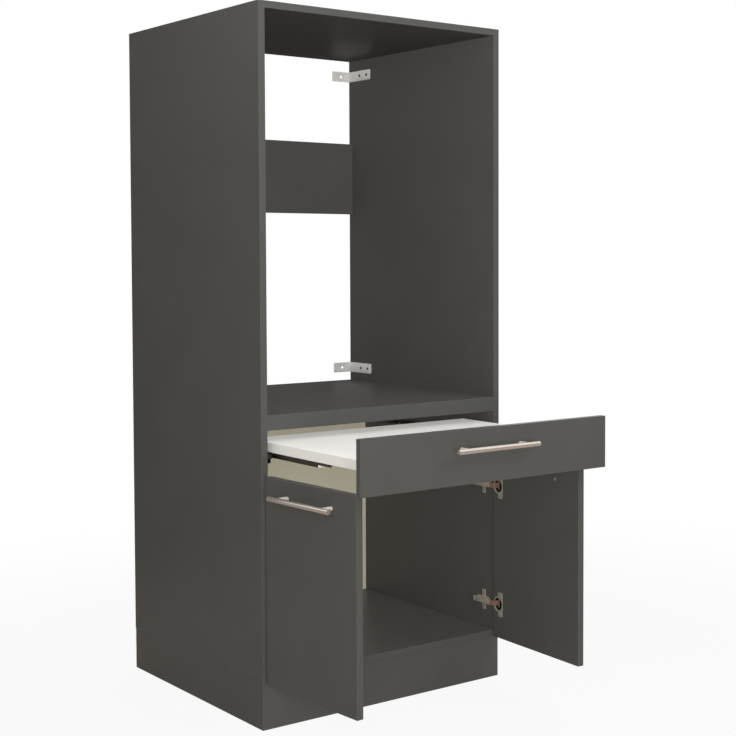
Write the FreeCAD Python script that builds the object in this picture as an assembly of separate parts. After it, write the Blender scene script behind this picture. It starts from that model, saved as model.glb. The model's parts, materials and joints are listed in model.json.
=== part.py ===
import FreeCAD, Part
import math
import os

os.makedirs("parts", exist_ok=True)
V = FreeCAD.Vector

# All sizes are millimetres. X runs across the width, the front faces -Y, Z is up.
# The origin is on the floor, under the middle of the plinth's front board.

# Carcass
cabinet_width = 670.0
cabinet_depth = 640.0
cabinet_height = 1600.0
board = 16.0
edge_round = 0.8
niche_floor_top = 698.0
niche_floor_thickness = 34.0
rail_height = 194.0
rail_drop = 245.0
back_panel_thickness = 3.0
back_panel_inset = 74.0
plinth_height = 102.0
plinth_setback = 3.0
plinth_side_inset = 1.0

# Dowels in the carcass joints
dowel_radius = 4.0
dowel_in_face = 11.0
dowel_in_edge = 19.0
dowel_end_inset = 60.0
rail_dowel_inset = 40.0

# Wall brackets in the rear corners of the niche
bracket_height = 27.0
bracket_sheet = 2.0
bracket_side_leg = 105.0
bracket_back_leg = 55.0
bracket_wall_hole_radius = 4.25
bracket_wall_hole_from_side = 27.5
bracket_screw_places = (55.5, 89.0)
upper_bracket_drop = 59.0
lower_bracket_rise = 36.0

# Screws
screw_radius = 1.75
screw_length = 12.0
screw_head_radius = 3.5
screw_head_height = 1.4
handle_screw_radius = 2.0
handle_screw_head_radius = 4.0
handle_screw_grip = 12.0
handle_hole_clearance = 0.2

# Fronts: pull-out front and doors
face_gap = 4.0
front_gap = 3.0
side_reveal = 2.0
pull_out_front_height = 117.0
pull_out_front_drop = 13.0
door_bottom_gap = 2.0
door_rest_angle = 87.0

# Handles
handle_length = 220.0
handle_spacing = 160.0
handle_bar_radius = 6.0
handle_post_radius = 5.0
handle_reach = 29.0
door_handle_drop = 38.0
pull_out_handle_drop = 42.0
handle_end_chamfer = 0.8
pilot_hole_radius = 2.5
pilot_hole_depth = 11.0

# Pull-out shelf and its travel
pull_out_travel = 365.0
shelf_thickness = 22.0
shelf_depth = 476.0
shelf_rise = 46.5
shelf_side_gap = 12.5
cleat_width = 30.0
cleat_leg = 34.0
cleat_sheet = 2.0
cleat_from_middle = 180.0
cleat_screw_from_corner = 22.0
cleat_screw_half_spacing = 8.0

# Runners: fixed cabinet rail, sliding middle rail, shelf rail under the board
rail_sheet = 1.2
rail_running_gap = 0.4
roller_gap = 0.3
roller_pass_gap = 0.5
axle_gap = 0.05
middle_share = 0.62
shelf_rail_inset = 1.0
shelf_rail_width = 24.0
shelf_rail_height = 5.5
shelf_rail_length = 275.0
shelf_rail_setback = 134.0
middle_rail_width = 18.0
middle_rail_length = 380.0
middle_rail_drop = 0.8
middle_rail_lip = 2.3
middle_rail_front = 31.0
roller_bay = 20.0
ear_height = 5.0
ear_reach = 4.0
middle_roller_radius = 5.0
middle_roller_width = 10.0
middle_axle_radius = 1.5
middle_roller_from_end = 8.0
roller_disc_width = 1.0
cabinet_rail_length = 428.0
cabinet_rail_front = 52.0
cabinet_rail_height = 24.0
cabinet_rail_lip = 5.6
cabinet_rail_lip_drop = 2.0
cabinet_roller_radius = 6.0
cabinet_roller_width = 10.0
cabinet_axle_radius = 2.0
cabinet_roller_from_end = 12.0
cabinet_rail_drop = 17.3
end_block_front = 2.0
end_block_height = 9.0
end_block_drop = 3.5
glide_length = 20.0
glide_from_end = 5.0
cabinet_rail_screw_places = (95.0, 220.0, 400.0)
shelf_rail_screw_places = (20.0, 120.0, 220.0)
shelf_screw_radius = 1.5
shelf_screw_head_radius = 3.0

# Concealed hinges
lower_hinge_rise = 84.0
upper_hinge_drop = 84.0
pivot_depth = 11.0
swing_clearance = 0.4
cup_radius = 17.5
cup_depth = 14.0
cup_wall = 1.5
cup_floor = 0.6
cup_from_edge = 21.0
cup_rim = 1.0
ear_half_height = 30.0
ear_half_width = 9.5
ear_from_middle = 9.5
cup_screw_half_spacing = 22.5
pin_radius = 1.25
pin_end_gap = 0.1
pin_gap = 0.05
arm_height = 12.0
arm_sheet = 2.4
arm_flange = 1.6
arm_knuckle_radius = 2.0
arm_body_start = 10.0
arm_body_end = 66.0
arm_screw_place = 50.0
arm_screw_grip = 7.0
arm_clearance = 0.6
plate_sheet = 2.0
plate_start = 20.0
plate_end = 60.0
plate_half_height = 8.0
wing_half_height = 25.0
wing_half_width = 6.0
plate_screw_line = 37.0
plate_screw_half_spacing = 16.0
boss_start = 22.0
boss_end = 56.0
boss_gap = 0.4

# Places worked out from the sizes above
front = -(plinth_setback + board / 2)
rear = front + cabinet_depth
left = -cabinet_width / 2
right = cabinet_width / 2
inner_left = left + board
inner_right = right - board
bottom_top = plinth_height + board
niche_floor_bottom = niche_floor_top - niche_floor_thickness
rail_top = cabinet_height - rail_drop
rail_bottom = rail_top - rail_height
middle_depth = (front + rear) / 2
back_panel_front = rear - back_panel_inset

pull_out_top = niche_floor_top - pull_out_front_drop
pull_out_bottom = pull_out_top - pull_out_front_height
pull_out_back = front - face_gap - pull_out_travel
pull_out_face = pull_out_back - board
shelf_bottom = pull_out_bottom + shelf_rise
shelf_top = shelf_bottom + shelf_thickness
shelf_left = inner_left + shelf_side_gap

door_bottom = plinth_height + door_bottom_gap
door_top = pull_out_bottom - front_gap
door_left = left + side_reveal
door_right = -front_gap / 2
door_back = front - face_gap
door_face = door_back - board

ALONG_X = V(1, 0, 0)
ALONG_Y = V(0, 1, 0)
ALONG_Z = V(0, 0, 1)
nodes = {}


def box(x0, x1, y0, y1, z0, z1):
    return Part.makeBox(x1 - x0, y1 - y0, z1 - z0, V(x0, y0, z0))


def rod(x, y, z, direction, radius, length):
    """A round bar that starts at a point and runs along a direction."""
    return Part.makeCylinder(radius, length, V(x, y, z), direction)


def rounded(shape):
    """A board with every edge eased."""
    return shape.makeFillet(edge_round, shape.Edges)


def front_rounded(shape):
    """A board with the edges of its front face eased, and its ends left square against its neighbours."""
    face_y = shape.BoundBox.YMin
    front_edges = [edge for edge in shape.Edges if edge.BoundBox.YMax < face_y + edge_round]
    return shape.makeFillet(edge_round, front_edges)


def joined(*shapes):
    return shapes[0].fuse(list(shapes[1:])).removeSplitter()


def mirrored(shape):
    return shape.mirror(V(0, 0, 0), ALONG_X)


def keep(name, *shapes):
    """Keep one or more separate solids as the named sub-part."""
    nodes[name] = [solid for shape in shapes for solid in shape.Solids]


def keep_pair(name, *shapes):
    """Keep left-hand solids, and their mirror images, as two sub-parts."""
    keep("left_" + name, *shapes)
    keep("right_" + name, *[mirrored(shape) for shape in shapes])


def both_sides(shapes):
    return shapes + [mirrored(shape) for shape in shapes]


def screw(x, y, z, direction, head_radius, head_height, radius, length):
    """A screw with its head's underside at the point, driven along the direction."""
    shank = rod(x, y, z, direction, radius, length)
    head = Part.makeCylinder(head_radius, head_height, V(x, y, z) - direction * head_height, direction)
    return joined(shank, head)


def board_screw(x, y, z, direction):
    return screw(x, y, z, direction, screw_head_radius, screw_head_height, screw_radius, screw_length)


def sheet_screw(x, y, z, direction, sheet):
    """A screw whose shank passes through a metal sheet and then into the board behind it."""
    return screw(x, y, z, direction, screw_head_radius, screw_head_height, screw_radius, sheet + screw_length)


# Wall brackets: a long leg on the side panel, a short leg in the plane of the wall
def wall_bracket(middle):
    low = middle - bracket_height / 2
    high = middle + bracket_height / 2
    side_leg = box(inner_left, inner_left + bracket_sheet, rear - bracket_side_leg, rear, low, high)
    back_leg = box(inner_left, inner_left + bracket_back_leg, rear - bracket_sheet, rear, low, high)
    hole_x = inner_left + bracket_wall_hole_from_side
    wall_hole = rod(hole_x, rear - bracket_sheet, middle, ALONG_Y, bracket_wall_hole_radius, bracket_sheet)
    return joined(side_leg, back_leg).cut([wall_hole])


def wall_bracket_screws(middle):
    head_face = inner_left + bracket_sheet
    return [sheet_screw(head_face, rear - place, middle, -ALONG_X, bracket_sheet)
            for place in bracket_screw_places]


bracket_heights = {
    "upper": cabinet_height - upper_bracket_drop,
    "lower": niche_floor_top + lower_bracket_rise,
}
bracket_screws = []
for level, middle in bracket_heights.items():
    level_screws = wall_bracket_screws(middle)
    keep_pair(level + "_wall_bracket", wall_bracket(middle).cut(level_screws))
    bracket_screws += level_screws
keep("wall_bracket_screws", *both_sides(bracket_screws))

# Hinges: the pivot stands in the cup, so that the door's edge clears the side panel as it swings
pivot_from_edge = math.sqrt((face_gap + pivot_depth - swing_clearance) ** 2 - pivot_depth ** 2)
pivot_x = door_left + pivot_from_edge
pivot_y = door_back - pivot_depth
cup_x = door_left + cup_from_edge
ear_x = cup_x + ear_from_middle
cup_inner_radius = cup_radius - cup_wall
pin_far_side = cup_x - pivot_x + pin_radius
pin_half_length = math.sqrt(cup_radius ** 2 - pin_far_side ** 2) - pin_end_gap
leg_start = pivot_x + math.hypot(pivot_from_edge, pivot_depth) + arm_clearance
leg_end = leg_start + arm_sheet
plate_face = inner_left + plate_sheet
hinge_heights = (door_bottom + lower_hinge_rise, door_top - upper_hinge_drop)


def hinge_pin(middle, radius):
    return rod(pivot_x, pivot_y, middle - pin_half_length, ALONG_Z, radius, 2 * pin_half_length)


def cup_screws(middle):
    return [board_screw(ear_x, door_back + cup_rim, middle + side * cup_screw_half_spacing, -ALONG_Y)
            for side in (-1, 1)]


def cup_bore(middle):
    return rod(cup_x, door_back, middle, -ALONG_Y, cup_radius, cup_depth)


def hinge_cup(middle):
    """A cup with a round rim, and ears for its screws on the side away from the door's edge."""
    rim = rod(cup_x, door_back, middle, ALONG_Y, cup_radius + cup_rim, cup_rim)
    ears = box(ear_x - ear_half_width, ear_x + ear_half_width, door_back, door_back + cup_rim,
               middle - ear_half_height, middle + ear_half_height)
    hollow_depth = cup_rim + cup_depth - cup_floor
    hollow = rod(cup_x, door_back + cup_rim, middle, -ALONG_Y, cup_inner_radius, hollow_depth)
    cup = joined(cup_bore(middle), rim, ears)
    return cup.cut([hollow, hinge_pin(middle, pin_radius)] + cup_screws(middle))


def arm_screw(middle):
    place = front + arm_screw_place
    grip = arm_sheet + boss_gap + arm_screw_grip
    return screw(leg_end, place, middle, -ALONG_X, screw_head_radius, screw_head_height, screw_radius, grip)


def hinge_arm(middle):
    low = middle - arm_height / 2
    high = middle + arm_height / 2
    knuckle = rod(pivot_x, pivot_y, low, ALONG_Z, arm_knuckle_radius, arm_height)
    neck = box(pivot_x, leg_end, pivot_y - arm_sheet / 2, pivot_y + arm_sheet / 2, low, high)
    leg = box(leg_start, leg_end, pivot_y - arm_sheet / 2, front + arm_body_end, low, high)
    body = box(plate_face, leg_end, front + arm_body_start, front + arm_body_end, low, high)
    channel = box(plate_face, leg_start, front + arm_body_start, front + arm_body_end,
                  low + arm_flange, high - arm_flange)
    arm = joined(knuckle, neck, leg, body.cut([channel]))
    return arm.cut([hinge_pin(middle, pin_radius + pin_gap), arm_screw(middle)])


def plate_screws(middle):
    return [sheet_screw(plate_face, front + plate_screw_line, middle + side * plate_screw_half_spacing,
                        -ALONG_X, plate_sheet) for side in (-1, 1)]


def hinge_plate(middle):
    base = box(inner_left, plate_face, front + plate_start, front + plate_end,
               middle - plate_half_height, middle + plate_half_height)
    wing_line = front + plate_screw_line
    wings = box(inner_left, plate_face, wing_line - wing_half_width, wing_line + wing_half_width,
                middle - wing_half_height, middle + wing_half_height)
    boss_half = arm_height / 2 - arm_flange - boss_gap
    boss = box(plate_face, leg_start - boss_gap, front + boss_start, front + boss_end,
               middle - boss_half, middle + boss_half)
    return joined(base, wings, boss).cut(plate_screws(middle) + [arm_screw(middle)])


all_plate_screws = [one for middle in hinge_heights for one in plate_screws(middle)]
all_arm_screws = [arm_screw(middle) for middle in hinge_heights]
keep_pair("hinge_arms", *[hinge_arm(middle) for middle in hinge_heights])
keep_pair("hinge_plates", *[hinge_plate(middle) for middle in hinge_heights])
keep("hinge_plate_screws", *both_sides(all_plate_screws + all_arm_screws))

# Runners: every rail is centred on one line under the shelf board's edge
runner_x = shelf_left + shelf_rail_inset + shelf_rail_width / 2
shelf_web_bottom = shelf_bottom - rail_sheet
middle_top = shelf_web_bottom - middle_rail_drop
middle_bottom = shelf_web_bottom - roller_gap - 2 * middle_roller_radius - roller_pass_gap
middle_travel = middle_share * pull_out_travel
middle_start = front + middle_rail_front - middle_travel
middle_end = middle_start + middle_rail_length
shelf_rail_start = pull_out_back + shelf_rail_setback
shelf_rail_end = shelf_rail_start + shelf_rail_length
middle_roller_y = middle_start + middle_roller_from_end
middle_roller_z = shelf_web_bottom - roller_gap - middle_roller_radius
cabinet_roller_y = front + cabinet_rail_front + cabinet_roller_from_end
cabinet_roller_z = middle_bottom - roller_gap - cabinet_roller_radius
cabinet_rail_bottom = middle_bottom - cabinet_rail_drop - rail_sheet
cabinet_rail_start = front + cabinet_rail_front
cabinet_rail_end = cabinet_rail_start + cabinet_rail_length
cabinet_lip_top = middle_bottom - cabinet_rail_lip_drop
cabinet_flange_x = runner_x + cabinet_roller_width / 2 + rail_running_gap + cabinet_rail_lip


def cabinet_rail():
    y0 = cabinet_rail_start
    y1 = cabinet_rail_end
    flange_end = cabinet_flange_x + rail_sheet
    floor_top = cabinet_rail_bottom + rail_sheet
    leg = box(inner_left, inner_left + rail_sheet, y0, y1, cabinet_rail_bottom,
              cabinet_rail_bottom + cabinet_rail_height)
    floor = box(inner_left, flange_end, y0, y1, cabinet_rail_bottom, floor_top)
    flange = box(cabinet_flange_x, flange_end, y0, y1, cabinet_rail_bottom, cabinet_lip_top)
    lip = box(cabinet_flange_x - cabinet_rail_lip, flange_end, y0, y1,
              cabinet_lip_top - rail_sheet, cabinet_lip_top)
    axle_hole = rod(inner_left, cabinet_roller_y, cabinet_roller_z, ALONG_X,
                    cabinet_axle_radius + axle_gap, flange_end - inner_left)
    return joined(leg, floor, flange, lip).cut([axle_hole] + cabinet_rail_screws())


def cabinet_rail_screws():
    height = cabinet_rail_bottom + cabinet_rail_height / 2
    return [sheet_screw(inner_left + rail_sheet, front + place, height, -ALONG_X, rail_sheet)
            for place in cabinet_rail_screw_places]


def rail_end_block():
    """The plastic block on the side panel in front of the fixed rail, beside the shelf rail."""
    top = shelf_bottom - end_block_drop
    return box(inner_left, runner_x - shelf_rail_width / 2 - rail_running_gap,
               front + end_block_front, cabinet_rail_start, top - end_block_height, top)


def cabinet_roller():
    """A roller with its axle, which turns in the fixed rail's leg and flange."""
    axle = rod(inner_left, cabinet_roller_y, cabinet_roller_z, ALONG_X, cabinet_axle_radius,
               cabinet_flange_x + rail_sheet - inner_left)
    wheel = rod(runner_x - cabinet_roller_width / 2, cabinet_roller_y, cabinet_roller_z, ALONG_X,
                cabinet_roller_radius, cabinet_roller_width)
    return joined(axle, wheel)


def middle_rail():
    half = middle_rail_width / 2
    y0 = middle_start + roller_bay
    y1 = middle_end
    pieces = [box(runner_x - half, runner_x + half, y0, y1, middle_bottom, middle_bottom + rail_sheet)]
    for side in (-1, 1):
        outer = runner_x + side * half
        inner = outer - side * rail_sheet
        lip_edge = inner - side * middle_rail_lip
        wall = sorted((outer, inner))
        lip = sorted((outer, lip_edge))
        pieces.append(box(*wall, y0, y1, middle_bottom, middle_top))
        pieces.append(box(*lip, y0, y1, middle_top - rail_sheet, middle_top))
        pieces.append(box(*wall, middle_roller_y - ear_reach, y0,
                          middle_roller_z - ear_height / 2, middle_roller_z + ear_height / 2))
    axle_hole = rod(runner_x - half, middle_roller_y, middle_roller_z, ALONG_X,
                    middle_axle_radius + axle_gap, middle_rail_width)
    return joined(*pieces).cut([axle_hole])


def middle_roller():
    """A roller with its axle, and a disc outside each of the two ears that carry it."""
    half = middle_rail_width / 2 + rail_running_gap + roller_disc_width
    axle = rod(runner_x - half, middle_roller_y, middle_roller_z, ALONG_X, middle_axle_radius, 2 * half)
    wheel = rod(runner_x - middle_roller_width / 2, middle_roller_y, middle_roller_z, ALONG_X,
                middle_roller_radius, middle_roller_width)
    discs = [rod(start, middle_roller_y, middle_roller_z, ALONG_X, middle_roller_radius, roller_disc_width)
             for start in (runner_x - half, runner_x + half - roller_disc_width)]
    return joined(axle, wheel, *discs)


def middle_glide():
    """The block under the middle rail's rear end, held down by the fixed rail's lip."""
    y1 = middle_end - glide_from_end
    y0 = y1 - glide_length
    neck_low = cabinet_lip_top - rail_sheet - rail_running_gap
    half = middle_roller_width / 2
    neck = box(runner_x - half, runner_x + half, y0, y1, neck_low, middle_bottom)
    foot = box(runner_x - half, cabinet_flange_x - rail_running_gap, y0, y1,
               cabinet_rail_bottom + rail_sheet + roller_gap, neck_low)
    return joined(neck, foot)


def shelf_rail_screws():
    return [screw(runner_x, shelf_rail_start + place, shelf_bottom, ALONG_Z,
                  shelf_screw_head_radius, rail_sheet, shelf_screw_radius, screw_length)
            for place in shelf_rail_screw_places]


def shelf_rail():
    half = shelf_rail_width / 2
    y0 = shelf_rail_start
    y1 = shelf_rail_end
    low = shelf_bottom - shelf_rail_height
    web = box(runner_x - half, runner_x + half, y0, y1, shelf_web_bottom, shelf_bottom)
    near = box(runner_x - half, runner_x - half + rail_sheet, y0, y1, low, shelf_bottom)
    far = box(runner_x + half - rail_sheet, runner_x + half, y0, y1, low, shelf_bottom)
    return joined(web, near, far).cut(shelf_rail_screws())


def shelf_glide():
    """The block at the shelf rail's rear end, held down by the middle rail's lips."""
    y1 = shelf_rail_end - glide_from_end
    y0 = y1 - glide_length
    neck_half = middle_rail_width / 2 - rail_sheet - middle_rail_lip - rail_running_gap
    foot_half = middle_rail_width / 2 - rail_sheet - rail_running_gap
    foot_top = middle_top - rail_sheet - rail_running_gap
    neck = box(runner_x - neck_half, runner_x + neck_half, y0, y1, foot_top, shelf_web_bottom)
    foot = box(runner_x - foot_half, runner_x + foot_half, y0, y1,
               middle_bottom + rail_sheet + rail_running_gap, foot_top)
    return joined(neck, foot)


keep_pair("cabinet_rail", cabinet_rail())
keep_pair("rail_end_block", rail_end_block())
keep_pair("cabinet_roller", cabinet_roller())
keep("cabinet_rail_screws", *both_sides(cabinet_rail_screws()))
keep_pair("middle_rail", middle_rail())
keep_pair("middle_roller", middle_roller())
keep("middle_rail_glides", *both_sides([middle_glide()]))
keep_pair("shelf_rail", shelf_rail())
keep("shelf_rail_glides", *both_sides([shelf_glide()]))

# Carcass boards, bored for the dowels and for the screws that they hold
rail_middle = rear - board / 2
niche_floor_middle = niche_floor_top - niche_floor_thickness / 2
dowel_rows = (front + dowel_end_inset, middle_depth, rear - dowel_end_inset)


def side_dowel(y, z):
    """A dowel from a cross board's end into the left side panel."""
    return rod(inner_left - dowel_in_face, y, z, ALONG_X, dowel_radius, dowel_in_face + dowel_in_edge)


def foot_dowel(y):
    """A dowel from the left side panel's lower end down into the bottom panel."""
    return rod(left + board / 2, y, bottom_top - dowel_in_face, ALONG_Z,
               dowel_radius, dowel_in_face + dowel_in_edge)


top_dowels = [side_dowel(y, cabinet_height - board / 2) for y in dowel_rows]
niche_floor_dowels = [side_dowel(y, niche_floor_middle) for y in dowel_rows]
rail_dowel_heights = (rail_bottom + rail_dowel_inset, rail_top - rail_dowel_inset)
rail_dowels = [side_dowel(rail_middle, z) for z in rail_dowel_heights]
foot_dowels = [foot_dowel(y) for y in dowel_rows]
dowels = top_dowels + niche_floor_dowels + rail_dowels + foot_dowels
keep("carcass_dowels", *both_sides(dowels))

side_panel = rounded(box(left, inner_left, front, rear, bottom_top, cabinet_height))
keep_pair("side_panel", side_panel.cut(dowels + bracket_screws + all_plate_screws + cabinet_rail_screws()))

top_panel = front_rounded(box(inner_left, inner_right, front, rear, cabinet_height - board, cabinet_height))
keep("top_panel", top_panel.cut(both_sides(top_dowels)))

niche_floor = front_rounded(box(inner_left, inner_right, front, rear, niche_floor_bottom, niche_floor_top))
keep("niche_floor", niche_floor.cut(both_sides(niche_floor_dowels)))

back_rail = front_rounded(box(inner_left, inner_right, rear - board, rear, rail_bottom, rail_top))
keep("back_rail", back_rail.cut(both_sides(rail_dowels)))

bottom_panel = rounded(box(left, right, front, rear, plinth_height, bottom_top))
keep("bottom_panel", bottom_panel.cut(both_sides(foot_dowels)))

back_panel_rear = back_panel_front + back_panel_thickness
keep("lower_back_panel", box(inner_left, inner_right, back_panel_front, back_panel_rear,
                             bottom_top, niche_floor_bottom))

# Plinth: a frame of four boards under the bottom panel
plinth_left = left + plinth_side_inset
plinth_front_back = front + plinth_setback + board
plinth_face = front + plinth_setback
plinth_front = box(plinth_left, -plinth_left, plinth_face, plinth_front_back, 0, plinth_height)
plinth_side = box(plinth_left, plinth_left + board, plinth_front_back, rear, 0, plinth_height)
plinth_back = box(plinth_left + board, -plinth_left - board, rear - board, rear, 0, plinth_height)
keep("plinth_front", rounded(plinth_front))
keep_pair("plinth_board", rounded(plinth_side))
keep("plinth_back", rounded(plinth_back))


# Handles: a bar on two posts, each post screwed on from behind the front
def handle_bar(middle_x, face_y, z):
    end_x = middle_x - handle_length / 2
    bar = rod(end_x, face_y - handle_reach, z, ALONG_X, handle_bar_radius, handle_length)
    rims = [edge for edge in bar.Edges if isinstance(edge.Curve, Part.Circle)]
    return bar.makeChamfer(handle_end_chamfer, rims)


def post_places(middle_x):
    return (middle_x - handle_spacing / 2, middle_x + handle_spacing / 2)


def handle_screws(middle_x, back_y, z):
    return [screw(x, back_y, z, -ALONG_Y, handle_screw_head_radius, screw_head_height, handle_screw_radius,
                  board + handle_screw_grip) for x in post_places(middle_x)]


def handle_posts(middle_x, face_y, z):
    screws = handle_screws(middle_x, face_y + board, z)
    bar = handle_bar(middle_x, face_y, z)
    return [rod(x, face_y, z, -ALONG_Y, handle_post_radius, handle_reach).cut([bar] + screws)
            for x in post_places(middle_x)]


def handle_holes(middle_x, face_y, z):
    return [rod(x, face_y, z, ALONG_Y, handle_screw_radius + handle_hole_clearance, board)
            for x in post_places(middle_x)]


# Pull-out: a shelf board behind a tall front, joined by angle pieces under the board
def front_cleat(x):
    x0 = x - cleat_width / 2
    x1 = x + cleat_width / 2
    under = box(x0, x1, pull_out_back, pull_out_back + cleat_leg, shelf_bottom - cleat_sheet, shelf_bottom)
    behind = box(x0, x1, pull_out_back, pull_out_back + cleat_sheet, shelf_bottom - cleat_leg, shelf_bottom)
    return joined(under, behind).cut(front_cleat_screws(x))


def front_cleat_screws(x):
    screws = []
    for side in (-1, 1):
        place = x + side * cleat_screw_half_spacing
        screws.append(sheet_screw(place, pull_out_back + cleat_screw_from_corner, shelf_bottom - cleat_sheet,
                                  ALONG_Z, cleat_sheet))
        screws.append(sheet_screw(place, pull_out_back + cleat_sheet, shelf_bottom - cleat_screw_from_corner,
                                  -ALONG_Y, cleat_sheet))
    return screws


cleat_places = (-cleat_from_middle, cleat_from_middle)
cleat_screws = [one for x in cleat_places for one in front_cleat_screws(x)]
pull_out_screws = cleat_screws + both_sides(shelf_rail_screws())
pull_out_handle_z = pull_out_top - pull_out_handle_drop
shelf_end = pull_out_back + shelf_depth
shelf_board = rounded(box(shelf_left, -shelf_left, pull_out_back, shelf_end, shelf_bottom, shelf_top))
front_board = rounded(box(door_left, -door_left, pull_out_face, pull_out_back, pull_out_bottom, pull_out_top))
keep("pull_out_shelf", shelf_board.cut(pull_out_screws))
keep("pull_out_front", front_board.cut(cleat_screws + handle_holes(0, pull_out_face, pull_out_handle_z)))
keep("front_angle_brackets", *[front_cleat(x) for x in cleat_places])
keep("pull_out_screws", *pull_out_screws)
keep("pull_out_handle_bar", handle_bar(0, pull_out_face, pull_out_handle_z))
keep("pull_out_handle_posts", *handle_posts(0, pull_out_face, pull_out_handle_z))
keep("pull_out_handle_screws", *handle_screws(0, pull_out_back, pull_out_handle_z))

# Doors: built closed on the left, then swung open about the hinge pins to the rest pose
door_middle = (door_left + door_right) / 2
door_handle_z = door_top - door_handle_drop
pilot_hole_z = door_bottom + door_handle_drop
all_cup_screws = [one for middle in hinge_heights for one in cup_screws(middle)]


def opened(shape):
    turned = shape.copy()
    turned.rotate(V(pivot_x, pivot_y, 0), ALONG_Z, -door_rest_angle)
    return turned


def door_panel():
    """The door, bored for the hinge cups and the handle, with spare pilot holes at its other end."""
    panel = rounded(box(door_left, door_right, door_face, door_back, door_bottom, door_top))
    bores = [cup_bore(middle) for middle in hinge_heights]
    pilots = [rod(x, door_back, pilot_hole_z, -ALONG_Y, pilot_hole_radius, pilot_hole_depth)
              for x in post_places(door_middle)]
    holes = handle_holes(door_middle, door_face, door_handle_z)
    return panel.cut(bores + pilots + holes + all_cup_screws)


door_pieces = {
    "door": [door_panel()],
    "hinge_cups": [hinge_cup(middle) for middle in hinge_heights],
    "hinge_pins": [hinge_pin(middle, pin_radius) for middle in hinge_heights],
    "hinge_cup_screws": all_cup_screws,
    "door_handle_bar": [handle_bar(door_middle, door_face, door_handle_z)],
    "door_handle_posts": handle_posts(door_middle, door_face, door_handle_z),
    "door_handle_screws": handle_screws(door_middle, door_back, door_handle_z),
}
for name, pieces in door_pieces.items():
    keep_pair(name, *[opened(piece) for piece in pieces])

for name, solids in nodes.items():
    shape = solids[0] if len(solids) == 1 else Part.makeCompound(solids)
    shape.exportStep("parts/" + name + ".step")
    print(name, len(solids), "solids", round(sum(solid.Volume for solid in solids)), "mm3")
print(len(nodes), "sub-parts")
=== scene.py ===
# %% [markdown]
# # A tall cabinet for a washing machine
# This lesson dresses a cabinet that already exists as plain solids: boards, doors, a pull-out shelf
# on runners, hinges, handles and brackets. The solids keep their places. We give each surface its
# finish, and we model again, by hand, the small metal pieces whose rounded edges and recesses
# decide whether a cabinet looks real.

# %% Load the solids
import json
from contextlib import contextmanager
from math import hypot, pi, radians

import bmesh
import bpy
from mathutils import Matrix, Vector

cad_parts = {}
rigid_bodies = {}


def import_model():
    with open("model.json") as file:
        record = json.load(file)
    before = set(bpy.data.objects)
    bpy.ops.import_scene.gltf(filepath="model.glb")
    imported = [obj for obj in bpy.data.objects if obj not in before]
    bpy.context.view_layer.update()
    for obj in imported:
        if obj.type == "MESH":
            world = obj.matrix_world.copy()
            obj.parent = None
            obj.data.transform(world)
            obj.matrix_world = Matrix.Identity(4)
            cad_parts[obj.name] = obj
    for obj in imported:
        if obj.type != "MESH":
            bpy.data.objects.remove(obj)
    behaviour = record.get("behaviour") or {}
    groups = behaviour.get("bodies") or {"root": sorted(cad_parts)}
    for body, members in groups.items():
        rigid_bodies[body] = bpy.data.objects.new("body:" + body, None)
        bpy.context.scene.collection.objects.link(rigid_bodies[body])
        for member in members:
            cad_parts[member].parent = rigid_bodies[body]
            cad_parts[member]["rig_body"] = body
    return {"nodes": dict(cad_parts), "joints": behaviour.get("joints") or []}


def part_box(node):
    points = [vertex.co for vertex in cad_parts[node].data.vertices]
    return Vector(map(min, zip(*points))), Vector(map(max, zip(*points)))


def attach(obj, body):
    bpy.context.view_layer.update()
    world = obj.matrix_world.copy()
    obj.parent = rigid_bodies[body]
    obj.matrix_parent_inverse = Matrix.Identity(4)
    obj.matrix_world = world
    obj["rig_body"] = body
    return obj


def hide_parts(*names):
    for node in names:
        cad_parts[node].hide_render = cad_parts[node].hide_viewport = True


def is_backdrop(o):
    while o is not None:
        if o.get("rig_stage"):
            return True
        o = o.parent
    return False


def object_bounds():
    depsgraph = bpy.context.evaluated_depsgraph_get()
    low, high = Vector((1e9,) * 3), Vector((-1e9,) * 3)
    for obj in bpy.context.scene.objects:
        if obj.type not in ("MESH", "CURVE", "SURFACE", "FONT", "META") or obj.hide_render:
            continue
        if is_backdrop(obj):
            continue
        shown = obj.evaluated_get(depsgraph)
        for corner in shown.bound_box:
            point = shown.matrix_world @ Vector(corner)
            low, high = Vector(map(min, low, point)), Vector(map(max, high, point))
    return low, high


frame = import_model()
solid_low, solid_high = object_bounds()
nodes = frame["nodes"]
slot_of = {name: solid.data.materials[0].name for name, solid in nodes.items()}
MM = 0.001
print(len(nodes), "solids, cabinet height", round(solid_high.z, 3), "m")

# %% [markdown]
# ## The camera
# The picture was taken from the front left, at about two thirds of the cabinet's height. The
# upright edges run parallel in it, which means that the camera looked level and the frame was
# shifted. A longer lens with a small shift and a slight tilt comes close to that, and it keeps the
# whole cabinet in view when the camera is carried round to another side.

# %% Camera
camera_data = bpy.data.cameras.new("camera")
camera = bpy.data.objects.new("camera", camera_data)
bpy.context.scene.collection.objects.link(camera)
bpy.context.scene.camera = camera
camera.location = (-1.9191, -2.7697, 1.0558)
look_down = radians(2.555)
look_right = radians(39.318)
camera.rotation_euler = (pi / 2 - look_down, 0, -look_right)
camera_data.sensor_width = 36
camera_data.lens = 70.62
camera_data.shift_x = -0.18
camera_data.shift_y = -0.07
print("camera stands", round(hypot(camera.location.x, camera.location.y), 2), "m from the origin")

# %% [markdown]
# ## Writing a finish as a formula
# A finish is a small sum over textures: some speckle, a little cloud, a line near the edge. Wiring
# each addition by hand hides that sum, so a wire here knows how to add, subtract, multiply and pick
# the smaller or the larger of two. Every other node comes from one method, which takes the kind of
# node, its settings and what goes into its sockets.


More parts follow.
